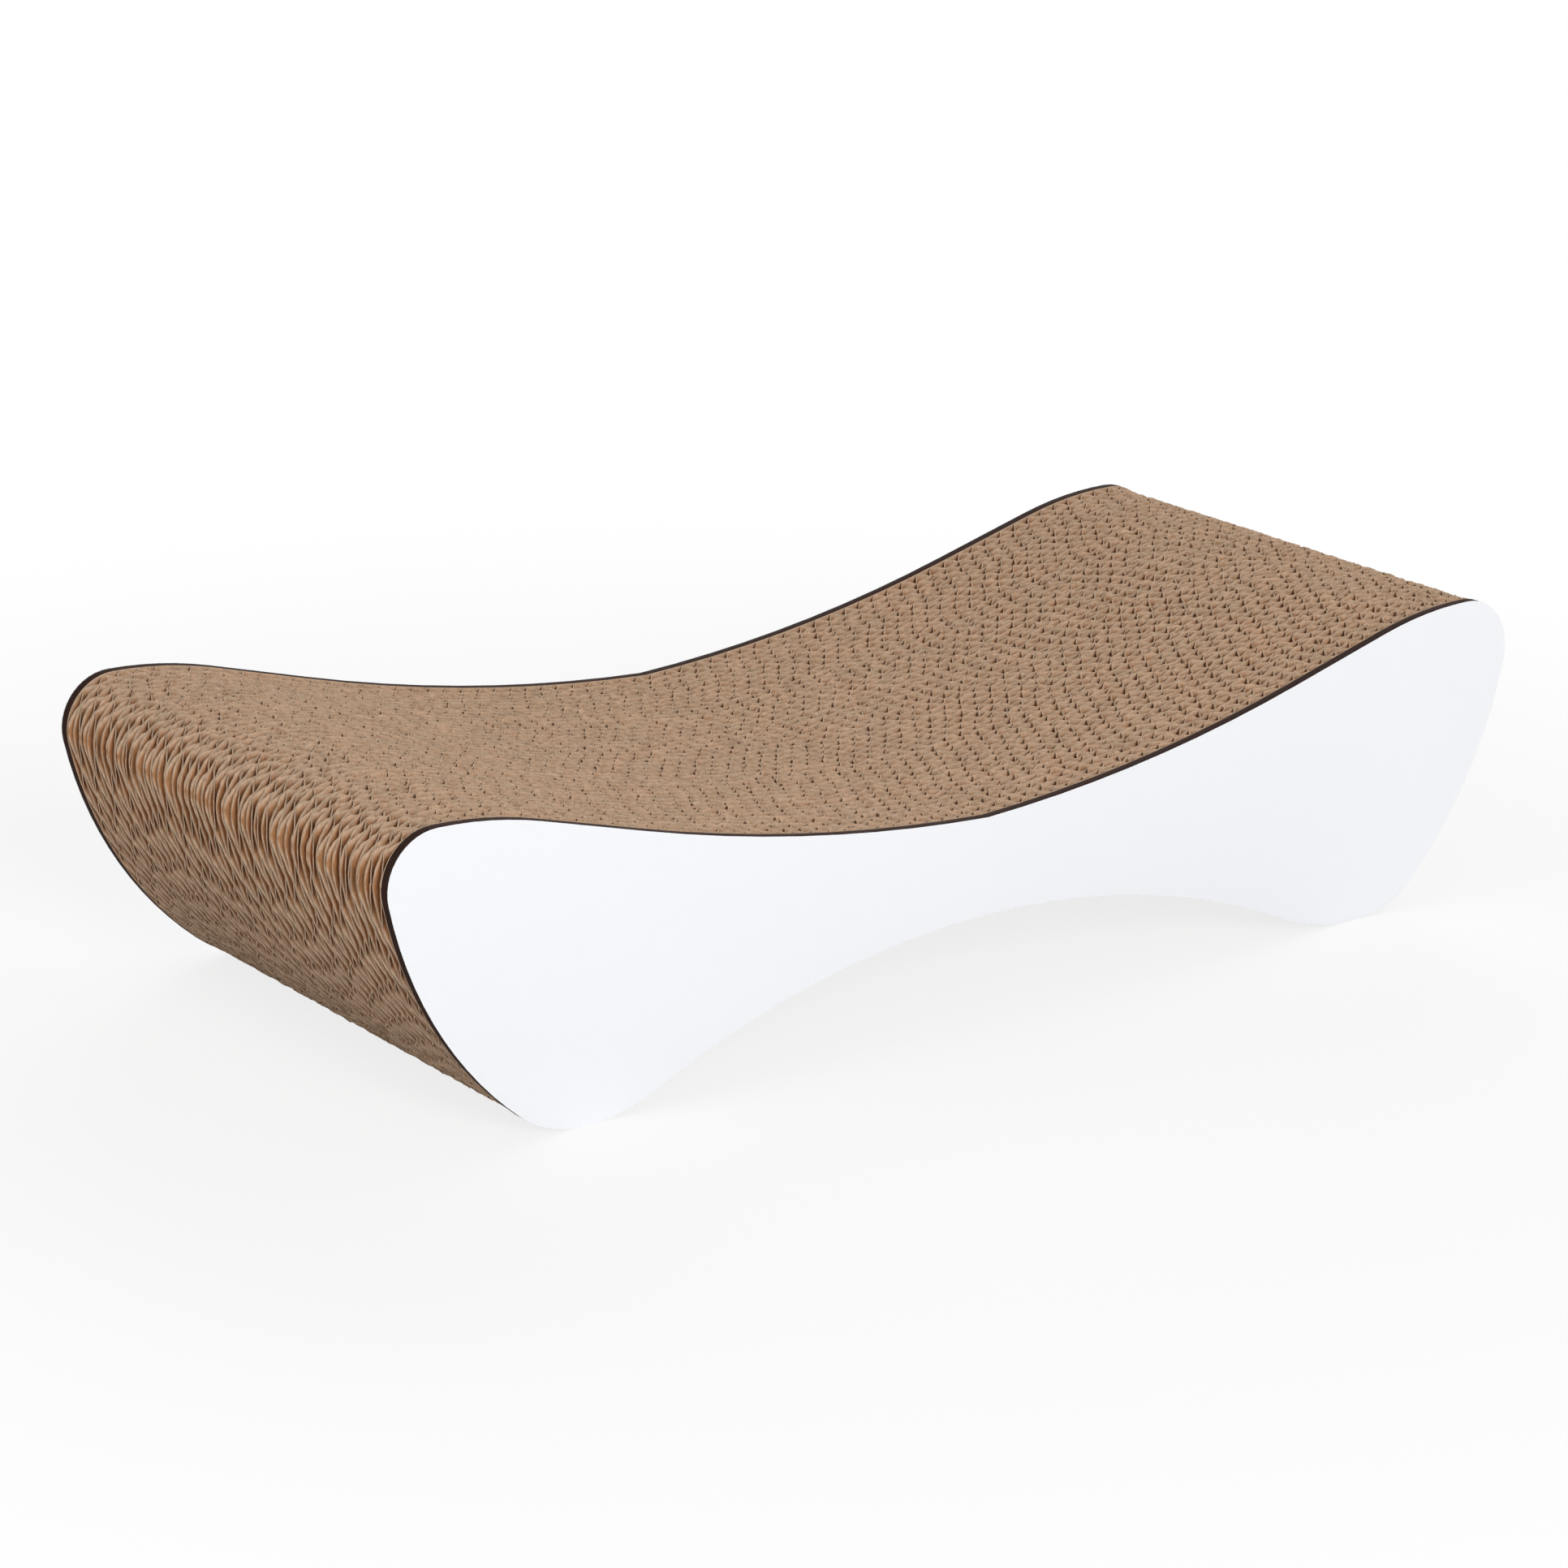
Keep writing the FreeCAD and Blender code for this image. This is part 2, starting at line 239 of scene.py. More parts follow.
@dataclass(frozen=True)
class KraftPaper(Finish):
    """Brown kraft paper: mottled in tone, with fine fibres along the flutes, and painted shade deeper inside
    the flutes.
    """

    warm: Colour = (0.61, 0.43, 0.3)
    olive: Colour = (0.575, 0.425, 0.3)
    patch_per_metre: float = 70.0
    # the part of the noise over which one colour of the ground turns into the other
    patch_range: tuple[float, float] = (0.35, 0.65)

    fibre: Colour = (0.34, 0.2, 0.11)
    fibre_per_metre: float = 1500.0
    fibre_stretch: float = 0.2
    fibre_range: tuple[float, float] = (0.5, 0.8)
    fibre_strength: float = 0.6
    fibre_depth: float = 0.05 * MM

    # how much the tone differs from paper to paper, and from grain to grain
    tone_spread: float = 0.16
    grain_spread: float = 0.5
    grain_per_metre: float = 420.0

    # the paper's colour deeper inside, as a share of its colour at the cut: painted shade of the flute
    # pockets, together with the paper being paler where the cut frays it
    inner: Colour = (0.69, 0.47, 0.31)
    roughness: float = 0.9
    roughness_spread: float = 0.1
    specular: float = 0.02

    def material(self) -> bpy.types.Material:
        """The paper as a material.

        Returns:
            The material.
        """
        material, wiring, shader, place = self.start()
        stretch = {"Vector": place, "Scale": (1.0, 1.0, self.fibre_stretch)}
        along_flutes = wiring.node("ShaderNodeMapping", stretch).outputs[0]
        fibres = wiring.noise(along_flutes, self.fibre_per_metre, detail=2.0)

        fibred = self.fibred_ground(wiring, place, fibres)
        lightness = self.lightness(wiring, place)
        shade = wiring.node("ShaderNodeHueSaturation", {"Value": lightness, "Color": fibred}).outputs[0]
        # the paper is paler where the cut frays it, and darker deeper inside the flutes as painted shade of
        # the pockets
        fray_and_shade = wiring.node("ShaderNodeAttribute", attribute_name=FRAY_AND_SHADE).outputs["Fac"]
        depth = wiring.math("SUBTRACT", 1.0, fray_and_shade)
        wiring.feed(shader.inputs["Base Color"], self.blend(wiring, depth, shade, self.inner, way="MULTIPLY"))

        self.vary_roughness(wiring, shader, fibres, self.roughness, self.roughness_spread)
        shader.inputs["Specular IOR Level"].default_value = self.specular
        self.raise_bump(wiring, shader, fibres, self.fibre_depth)
        return material

    def fibred_ground(self, wiring: Wiring, place: Socket, fibres: Socket) -> Socket:
        """The paper's mottled colour with darker fibres in it.

        Args:
            wiring: The material's wiring.
            place: The place on the piece.
            fibres: The noise that makes the fibres.

        Returns:
            The colour.
        """
        patches = wiring.noise(place, self.patch_per_metre, detail=3.0)
        low, high = self.patch_range
        steep = wiring.node("ShaderNodeMapRange", {0: patches, 1: low, 2: high})
        ground = self.blend(wiring, steep.outputs[0], self.warm, self.olive)
        low, high = self.fibre_range
        steps = {0: fibres, 1: low, 2: high, 3: 0.0, 4: self.fibre_strength}
        sparse = wiring.node("ShaderNodeMapRange", steps)
        return self.blend(wiring, sparse.outputs[0], ground, self.fibre)

    def lightness(self, wiring: Wiring, place: Socket) -> Socket:
        """How light the paper is: a tone for each paper, and a fine grain.

        Args:
            wiring: The material's wiring.
            place: The place on the piece.

        Returns:
            The lightness, around 1.
        """
        tone = wiring.node("ShaderNodeAttribute", attribute_name=PLY_TONE).outputs["Fac"]
        lowest = 1.0 - (self.tone_spread + self.grain_spread) / 2
        ply = wiring.math("MULTIPLY_ADD", tone, self.tone_spread, lowest)
        grain = wiring.noise(place, self.grain_per_metre, detail=2.0)
        return wiring.math("MULTIPLY_ADD", grain, self.grain_spread, ply)


@dataclass(frozen=True)
class WhiteLaminate(Finish):
    """A smooth white film with a soft sheen and a faint orange peel."""

    white: Colour = (0.86, 0.868, 0.89)
    cool: Colour = (0.84, 0.85, 0.878)
    cloud_per_metre: float = 9.0
    roughness: float = 0.38
    roughness_spread: float = 0.08
    peel_per_metre: float = 420.0
    peel_depth: float = 0.012 * MM

    def material(self) -> bpy.types.Material:
        """The film as a material.

        Returns:
            The material.
        """
        material, wiring, shader, place = self.start()
        clouds = wiring.noise(place, self.cloud_per_metre, detail=4.0)
        wiring.feed(shader.inputs["Base Color"], self.blend(wiring, clouds, self.white, self.cool))
        self.vary_roughness(wiring, shader, clouds, self.roughness, self.roughness_spread)
        peel = wiring.noise(place, self.peel_per_metre, detail=1.0)
        self.raise_bump(wiring, shader, peel, self.peel_depth)
        return material


@dataclass(frozen=True)
class HardboardEdge(Finish):
    """The sawn edge of dark hardboard: pressed fibre in fine layers."""

    dark: Colour = (0.024, 0.0125, 0.0095)
    light: Colour = (0.05, 0.027, 0.021)
    speck_per_metre: float = 900.0
    # the layers lie along the panel, so the specks are thin across it
    layer_squeeze: float = 3.0
    speck_depth: float = 0.06 * MM
    roughness: float = 0.72
    roughness_spread: float = 0.2
    specular: float = 0.02

    def material(self) -> bpy.types.Material:
        """The edge as a material.

        Returns:
            The material.
        """
        material, wiring, shader, place = self.start()
        squeeze = {"Vector": place, "Scale": (1.0, self.layer_squeeze, 1.0)}
        layers = wiring.node("ShaderNodeMapping", squeeze).outputs[0]
        specks = wiring.noise(layers, self.speck_per_metre, detail=3.0)
        wiring.feed(shader.inputs["Base Color"], self.blend(wiring, specks, self.dark, self.light))
        self.vary_roughness(wiring, shader, specks, self.roughness, self.roughness_spread)
        shader.inputs["Specular IOR Level"].default_value = self.specular
        self.raise_bump(wiring, shader, specks, self.speck_depth)
        return material


# ---- the corrugated sheets ----

CUT_EDGE = "cut_edge"


@dataclass(frozen=True)
class TubeCorner:
    """Where a corner of a paper's tube lies on the paper, as fields."""

    # 0 at the nose and 1 at the tail
    travel: Socket
    # minus 1 or plus 1: the paper's front or back face, and its lower or upper cut
    face_side: Socket
    rise: Socket
    # 1 for a corner on the cut, and 0 for one of the loop inside it
    on_cut: Socket


class SheetTree:
    """The Geometry Nodes that turn a sheet's solid board into papers and flutes."""

    # how far a paper stays from the very ends of the outline, where its height runs out
    END_GAP = 0.005 * MM
    # a ray starts this far above or below the middle of the board
    RAY_START = 1.0
    # the most that is cut from a paper, as a share of the outline's height there
    DEEPEST_CUT = 0.4
    # how far from a side panel its hold on the papers is gone
    PANEL_HOLD = 6 * MM
    # the share of the wave with three times the waves, which straightens the flanks
    PEAK = 0.11
    # the features of the wave's drift for each metre, and the step that sets the two cuts' drifts apart
    DRIFT_SCALE = 25.0
    DRIFT_STEP = 10 * MM
    # the corners round a paper's tube
    TUBE_CORNERS = 8
    # a face is on the cut when more than this share of its corners is
    WHOLE_FACE = 0.9

    # what the tree of a sheet passes on to the tree of each paper
    COMMON = ("Drift", "Cut depth", "Cut scale", "Crush", "Crush depth", "Crush scale", "Stack half width")

    def __init__(self) -> None:
        """Build the tree of one paper, and then the tree of one sheet that uses it five times."""
        self.paper = self.paper_tree()
        self.sheet = self.sheet_tree()

    @staticmethod
    def blank(name: str, sizes: dict[str, str]) -> tuple[Wiring, dict[str, Socket], bpy.types.Node]:
        """Make an empty tree with a geometry in, a geometry out and named inputs.

        Args:
            name: The tree's name.
            sizes: Each further input's name and its socket type.

        Returns:
            The tree's wiring, its inputs by name and its output node.
        """
        tree = bpy.data.node_groups.new(name, "GeometryNodeTree")
        tree.interface.new_socket("Geometry", in_out="OUTPUT", socket_type="NodeSocketGeometry")
        tree.interface.new_socket("Geometry", in_out="INPUT", socket_type="NodeSocketGeometry")
        for size, kind in sizes.items():
            tree.interface.new_socket(size, in_out="INPUT", socket_type=kind)
        entry = tree.nodes.new("NodeGroupInput")
        inputs = {socket.name: socket for socket in entry.outputs if socket.name}
        return Wiring(tree), inputs, tree.nodes.new("NodeGroupOutput")

    @staticmethod
    def corners(wiring: Wiring, board: Socket) -> tuple[list[Socket], list[Socket]]:
        """The lowest and the highest corner of the board, three values each."""
        box = wiring.node("GeometryNodeBoundBox", {0: board})
        return wiring.split(box.outputs["Min"]), wiring.split(box.outputs["Max"])

    # ---- one paper ----

    def paper_tree(self) -> bpy.types.NodeTree:
        """One paper of the board, flat or fluted, cut to the board's outline.

        Returns:
            The tree.
        """
        own = ("Middle", "Thickness", "Swing", "Pitch", "Phase", "Tone")
        sizes = dict.fromkeys((*own, *self.COMMON), "NodeSocketFloat")
        sizes["Columns"] = "NodeSocketInt"
        wiring, given, out = self.blank("one_paper", sizes)
        tube, corner = self.tube(wiring, given["Columns"])
        low, high = self.corners(wiring, given["Geometry"])
        ends = (
            wiring.math("ADD", low[0], self.END_GAP),
            wiring.math("SUBTRACT", high[0], self.END_GAP),
        )
        along, edge_x, edge_y = self.wave(wiring, given, corner, ends)
        place = self.cut(wiring, given, corner, along, edge_x, edge_y)

        share = wiring.node("GeometryNodeFieldOnDomain", {0: corner.on_cut}, data_type="FLOAT", domain="FACE")
        is_cut = wiring.math("GREATER_THAN", share.outputs[0], self.WHOLE_FACE)
        marked = wiring.store(tube, CUT_EDGE, is_cut, "BOOLEAN", "FACE")
        # the share that the paper's material turns into paler fraying at the cut and painted shade deeper in
        # the flutes
        fray_and_shade = wiring.store(marked, FRAY_AND_SHADE, corner.on_cut, "FLOAT", "POINT")
        bent = wiring.node("GeometryNodeSetPosition", {"Geometry": fray_and_shade, "Position": place}).outputs[0]
        wiring.feed(out.inputs[0], wiring.store(bent, PLY_TONE, given["Tone"], "FLOAT", "POINT"))
        return wiring.tree

    def tube(self, wiring: Wiring, columns: Socket) -> tuple[Socket, TubeCorner]:
        """A straight tube with two corners for each edge of the paper, in even steps along its length.

        Args:
            wiring: The tree's wiring.
            columns: How many rings of corners it has.

        Returns:
            The tube, and what each of its corners stands for.
        """
        line = wiring.node("GeometryNodeCurvePrimitiveLine", {"End": (1.0, 0.0, 0.0)}).outputs[0]
        steps = wiring.node("GeometryNodeResampleCurve", {"Curve": line, "Count": columns}).outputs[0]
        circle = {"Resolution": self.TUBE_CORNERS, "Radius": 1.0}
        ring = wiring.node("GeometryNodeCurvePrimitiveCircle", circle).outputs[0]
        half_step = math.tau / self.TUBE_CORNERS / 2
        turn = {"Geometry": ring, "Rotation": (0.0, 0.0, half_step)}
        turned = wiring.node("GeometryNodeTransform", turn).outputs[0]
        sweep = {"Curve": steps, "Profile Curve": turned, "Fill Caps": True}
        tube = wiring.node("GeometryNodeCurveToMesh", sweep).outputs[0]

        travel, across, upward = wiring.split(wiring.node("GeometryNodeInputPosition").outputs[0])
        # the ring's corners on a cut lie above the diagonals, or below them
        diagonal = math.sin(math.tau / 8)
        corner = TubeCorner(
            travel=travel,
            face_side=wiring.math("SIGN", across),
            rise=wiring.math("SIGN", upward),
            on_cut=wiring.math("GREATER_THAN", wiring.math("ABSOLUTE", upward), diagonal),
        )
        return tube, corner

    def wave(
        self, wiring: Wiring, given: dict[str, Socket], corner: TubeCorner, ends: tuple[Socket, Socket]
    ) -> tuple[Socket, Socket, Socket]:
        """Where a corner lies along and across the board, on its side of the wave.

        Args:
            wiring: The tree's wiring.
            given: The tree's inputs.
            corner: The corner.
            ends: The lowest and the highest X that a paper may have.

        Returns:
            The place along the wave's middle line, and the corner's X and Y.
        """
        # the steps crowd together towards both ends, where the outline turns upright
        spread = {"Value": corner.travel, "To Min": ends[0], "To Max": ends[1]}
        along = wiring.node("ShaderNodeMapRange", spread, interpolation_type="SMOOTHSTEP").outputs[0]

        layer = wiring.vector(along, given["Middle"], wiring.math("MULTIPLY", corner.rise, self.DRIFT_STEP))
        drift = wiring.centred_noise(layer, self.DRIFT_SCALE, given["Drift"])
        turns = wiring.math("ADD", wiring.math("DIVIDE", along, given["Pitch"]), given["Phase"])
        angle = wiring.math("MULTIPLY", wiring.math("ADD", turns, drift), math.tau)
        third = wiring.math("MULTIPLY", angle, 3.0)
        cosine = wiring.math("COSINE", angle)
        cosines = wiring.math("MULTIPLY_ADD", wiring.math("COSINE", third), self.PEAK, cosine)
        wave = wiring.math("MULTIPLY", wiring.math("DIVIDE", cosines, 1 + self.PEAK), given["Swing"])

        # the paper's two faces lie square to the wave's slope
        steepness = wiring.math("DIVIDE", wiring.math("MULTIPLY", given["Swing"], math.tau), given["Pitch"])
        sine = wiring.math("SINE", angle)
        sines = wiring.math("MULTIPLY_ADD", wiring.math("SINE", third), 3 * self.PEAK, sine)
        slope = wiring.math("MULTIPLY", wiring.math("DIVIDE", sines, 1 + self.PEAK), steepness)
        length = wiring.math("SQRT", wiring.math("MULTIPLY_ADD", slope, slope, 1.0))
        half_paper = wiring.math("MULTIPLY", given["Thickness"], 0.5)
        offset = wiring.math("DIVIDE", wiring.math("MULTIPLY", corner.face_side, half_paper), length)
        edge_x = wiring.clamp(wiring.math("MULTIPLY_ADD", offset, slope, along), *ends)
        edge_y = wiring.math("ADD", wiring.math("ADD", given["Middle"], wave), offset)
        return along, edge_x, edge_y

    def cut(
        self,
        wiring: Wiring,
        given: dict[str, Socket],
        corner: TubeCorner,
        along: Socket,
        edge_x: Socket,
        edge_y: Socket,
    ) -> Socket:
        """The place of a corner after the blade's rough cut.

        Args:
            wiring: The tree's wiring.
            given: The tree's inputs.
            corner: The corner.
            along: Its place along the wave's middle line.
            edge_x: Its X.
            edge_y: Its Y before the cut.

        Returns:
            The place.
        """
        # next to a side panel the blade neither cut deeper nor bent the paper
        to_panel = wiring.math("SUBTRACT", given["Stack half width"], wiring.math("ABSOLUTE", edge_y))
        free = wiring.clamp(wiring.math("DIVIDE", to_panel, self.PANEL_HOLD), 0.0, 1.0)

        # the outline's height there, less a little where the cut went deeper
        rough = wiring.vector(along, edge_y, corner.rise)
        ragged = wiring.math("MULTIPLY", wiring.noise(rough, given["Cut scale"]), given["Cut depth"])
        depth = wiring.math("MULTIPLY", ragged, free)
        off_cut = wiring.math("SUBTRACT", 1.0, corner.on_cut)
        inset = wiring.math("MULTIPLY", off_cut, given["Crush depth"])
        height, level = self.cut_height(wiring, given["Geometry"], edge_x, corner.rise, depth, inset)

        # the blade pushed the cut edges sideways, all papers that meet at a place by the same way
        sway = wiring.math("MULTIPLY", wiring.math("MULTIPLY", given["Crush"], free), level)
        push = wiring.centred_noise(wiring.vector(edge_x, edge_y, height), given["Crush scale"], sway)
        return wiring.vector(edge_x, wiring.math("MULTIPLY_ADD", push, corner.on_cut, edge_y), height)

    def cut_height(
        self, wiring: Wiring, board: Socket, along: Socket, rise: Socket, depth: Socket, inset: Socket
    ) -> tuple[Socket, Socket]:
        """The height of the board's upper or lower outline at a place along it.

        Args:
            wiring: The tree's wiring.
            board: The solid board.
            along: The place along X.
            rise: Plus 1 for the upper outline and minus 1 for the lower one.
            depth: How far the cut went inside the outline, where the outline is level.
            inset: How much further inside this corner lies, where the board is tall enough.

        Returns:
            The height, and how level the outline is there: 0 where it is upright and 1 where it is level.
        """
        low, high = self.corners(wiring, board)
        middle = wiring.math("MULTIPLY", wiring.math("ADD", low[1], high[1]), 0.5)
        hits = []
        for way in (rise, wiring.math("MULTIPLY", rise, -1.0)):
            start = wiring.math("MULTIPLY", way, self.RAY_START)
            ray = {
                "Target Geometry": board,
                "Source Position": wiring.vector(along, middle, start),
                "Ray Direction": wiring.vector(0.0, 0.0, wiring.math("MULTIPLY", way, -1.0)),
                "Ray Length": 2 * self.RAY_START,
            }
            hit = wiring.node("GeometryNodeRaycast", ray).outputs
            hits.append((wiring.split(hit["Hit Position"])[2], wiring.split(hit["Hit Normal"])[2]))
        (near, normal), (far, _) = hits
        level = wiring.math("ABSOLUTE", normal)
        tall = wiring.math("ABSOLUTE", wiring.math("SUBTRACT", near, far))
        drop = wiring.math("MULTIPLY_ADD", depth, level, inset)
        inward = wiring.math("MINIMUM", drop, wiring.math("MULTIPLY", tall, self.DEEPEST_CUT))
        return wiring.math("SUBTRACT", near, wiring.math("MULTIPLY", rise, inward)), level

    # ---- one sheet ----

    def sheet_tree(self) -> bpy.types.NodeTree:
        """A double-wall sheet: three liners with two fluted papers between them.

        Returns:
            The tree.
        """
        names = ("Liner", "Flute paper", "Pitch A", "Pitch B", "Phase A", "Phase B", *self.COMMON)
        sizes = dict.fromkeys(names, "NodeSocketFloat")
        sizes |= dict.fromkeys(("Liner columns", "Flute columns", "Seed"), "NodeSocketInt")
        sizes |= dict.fromkeys(("Paper", "Cut paper"), "NodeSocketMaterial")
        wiring, given, out = self.blank("corrugated_sheet", sizes)
        low, high = self.corners(wiring, given["Geometry"])
        near, far = low[1], high[1]
        thickness = wiring.math("SUBTRACT", far, near)
        middle = wiring.math("MULTIPLY", wiring.math("ADD", near, far), 0.5)
        liner, flute = given["Liner"], given["Flute paper"]

        # a liner is shared by the two fluted layers at its sides, so an outer one is half as thick
        quarter_liner = wiring.math("MULTIPLY", liner, 0.25)
        outer_liner = wiring.math("MULTIPLY", liner, 0.5)
        layer = wiring.math("MULTIPLY", thickness, 0.25)
        between_liners = wiring.math("SUBTRACT", wiring.math("MULTIPLY", layer, 2.0), liner)
        swing = wiring.math("MULTIPLY", wiring.math("SUBTRACT", between_liners, flute), 0.5)
        papers = (
            (wiring.math("ADD", near, quarter_liner), outer_liner, None),
            (wiring.math("SUBTRACT", middle, layer), flute, "A"),
            (middle, liner, None),
            (wiring.math("ADD", middle, layer), flute, "B"),
            (wiring.math("SUBTRACT", far, quarter_liner), outer_liner, None),
        )
        join = wiring.node("GeometryNodeJoinGeometry")
        for index, (place, ply, row) in enumerate(papers):
            shape = {"Middle": place, "Thickness": ply, "Swing": swing if row else 0.0}
            wiring.feed(join.inputs[0], self.add_paper(wiring, given, index, shape, row))
        solid = wiring.node("GeometryNodeRealizeInstances", {0: join.outputs[0]}).outputs[0]
        wiring.feed(out.inputs[0], self.dress(wiring, given, solid))
        return wiring.tree

    def add_paper(
        self,
        wiring: Wiring,
        given: dict[str, Socket],
        index: int,
        shape: dict[str, object],
        row: str | None,
    ) -> Socket:
        """Add one paper to the sheet.

        Args:
            wiring: The sheet tree's wiring.
            given: The sheet tree's inputs.
            index: The paper's number in the sheet.
            shape: Its place across the sheet, its thickness and its wave's swing.
            row: The letter of its row of flutes, or nothing for a liner.

        Returns:
            The paper's geometry.
        """
        tone = wiring.node("FunctionNodeRandomValue", data_type="FLOAT")
        draw = {socket.name: socket for socket in tone.inputs if socket.enabled}
        wiring.feed(draw["ID"], index)
        wiring.feed(draw["Seed"], given["Seed"])
        values = {name: given[name] for name in self.COMMON} | shape
        values |= {
            "Geometry": given["Geometry"],
            "Pitch": given[f"Pitch {row}"] if row else 1.0,
            "Phase": given[f"Phase {row}"] if row else 0.0,
            "Drift": given["Drift"] if row else 0.0,
            "Tone": tone.outputs[1],
            "Columns": given["Flute columns"] if row else given["Liner columns"],
        }
        return wiring.node("GeometryNodeGroup", values, node_tree=self.paper).outputs[0]

    @staticmethod
    def dress(wiring: Wiring, given: dict[str, Socket], papers: Socket) -> Socket:
        """Give the papers their materials, smooth on their faces and flat on their cut edges.

        Args:
            wiring: The sheet tree's wiring.
            given: The sheet tree's inputs.
            papers: The geometry of all the papers.

        Returns:
            The finished sheet.
        """
        attribute = wiring.node("GeometryNodeInputNamedAttribute", {"Name": CUT_EDGE}, data_type="BOOLEAN")
        cut = attribute.outputs[0]
        uncut = wiring.node("FunctionNodeBooleanMath", {0: cut}, operation="NOT").outputs[0]
        shading = {"Geometry": papers, "Shade Smooth": uncut}
        smooth = wiring.node("GeometryNodeSetShadeSmooth", shading).outputs[0]
        all_faces = {"Geometry": smooth, "Material": given["Paper"]}
        faces = wiring.node("GeometryNodeSetMaterial", all_faces).outputs[0]
        cut_faces = {"Geometry": faces, "Selection": cut, "Material": given["Cut paper"]}
        return wiring.node("GeometryNodeSetMaterial", cut_faces).outputs[0]


@dataclass
class CorrugatedStack:
    """All the corrugated sheets, each in its own place between the side panels."""

    paper: KraftPaper
    cut_paper: KraftPaper
    nodes: list[str]
    liner: float = 0.65 * MM
    flute_paper: float = 0.48 * MM
    flute_pitch: float = 8.57 * MM
    pitch_spread: float = 0.006
    flute_columns: int = 1100
    liner_columns: int = 260
    # how far the wave drifts from its even pitch, as a share of it
    drift: float = 0.12
    # the cut's depth at most, and its features for each metre
    cut_depth: float = 2.0 * MM
    cut_scale: float = 330.0
    # how far the blade pushed the edges sideways, how deep that goes, and its features for each metre
    crush: float = 1.9 * MM
    crush_depth: float = 3.2 * MM
    crush_scale: float = 280.0
    # neighbouring rows that came from one board shift by the same share of the pitch
    rows_per_board: tuple[int, int] = (1, 4)
    phase_jitter: float = 0.05
    seed: int = 11

    def build(self) -> list[bpy.types.Object]:
        """Make every sheet.

        Returns:
            The sheets, from the front panel to the back one.
        """
        tree = SheetTree().sheet
        shared = self.shared_values()
        phases = self.phases(2 * len(self.nodes))
        chance = random.Random(self.seed)
        sheets = []
        for index, node in enumerate(self.nodes):
            pitches = [self.flute_pitch * (1 + self.pitch_spread * chance.uniform(-1, 1)) for _ in "AB"]
            own = {
                "Pitch A": pitches[0],
                "Pitch B": pitches[1],
                "Phase A": phases[2 * index],
                "Phase B": phases[2 * index + 1],
                "Seed": self.seed + index,
            }
            sheets.append(self.sheet(node, tree, shared | own))
        return sheets

    def shared_values(self) -> dict[str, object]:
        """The inputs of the sheets' tree that every sheet has alike.

        Returns:
            The value of each of these inputs, by its name.
        """
        return {
            "Liner": self.liner,
            "Flute paper": self.flute_paper,
            "Drift": self.drift,
            "Cut depth": self.cut_depth,
            "Cut scale": self.cut_scale,
            "Crush": self.crush,
            "Crush depth": self.crush_depth,
            "Crush scale": self.crush_scale,
            "Stack half width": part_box(self.nodes[-1])[1].y,
            "Liner columns": self.liner_columns,
            "Flute columns": self.flute_columns,
            "Paper": self.paper.material(),
            "Cut paper": self.cut_paper.material(),
        }

    def phases(self, count: int) -> list[float]:
        """Draw where the wave starts in each row.

        Args:
            count: The number of rows.

        Returns:
            The start of each row, as a share of the pitch.
        """
        chance = random.Random(self.seed + 1)
        phases = [chance.random()]
        while len(phases) < count:
            step = chance.uniform(-0.5, 0.5)
            for _ in range(chance.randint(*self.rows_per_board)):
                phases.append(phases[-1] + step + chance.uniform(-self.phase_jitter, self.phase_jitter))
        return phases[:count]

    def sheet(self, node: str, tree: bpy.types.NodeTree, values: dict[str, object]) -> bpy.types.Object:
        """Make one sheet in the place of its node.

        Args:
            node: The node's name.
            tree: The Geometry Nodes of a sheet.
            values: The value of each of the tree's inputs.

        Returns:
            The sheet.
        """
        board = bpy.data.objects.new("board", merged_copy(node))
        bpy.context.scene.collection.objects.link(board)
        modifier = board.modifiers.new("flutes", "NODES")
        modifier.node_group = tree
        for item in tree.interface.items_tree:
            if item.item_type == "SOCKET" and item.in_out == "INPUT" and item.name in values:
                modifier[item.identifier] = values[item.name]
        board.update_tag()
        depsgraph = bpy.context.evaluated_depsgraph_get()
        mesh = bpy.data.meshes.new_from_object(board.evaluated_get(depsgraph))
        bpy.data.objects.remove(board)
        piece = add_piece(f"corrugated_{node}", mesh)
        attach(piece, BODY)
        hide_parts(node)
        return piece


# ---- the side panels ----


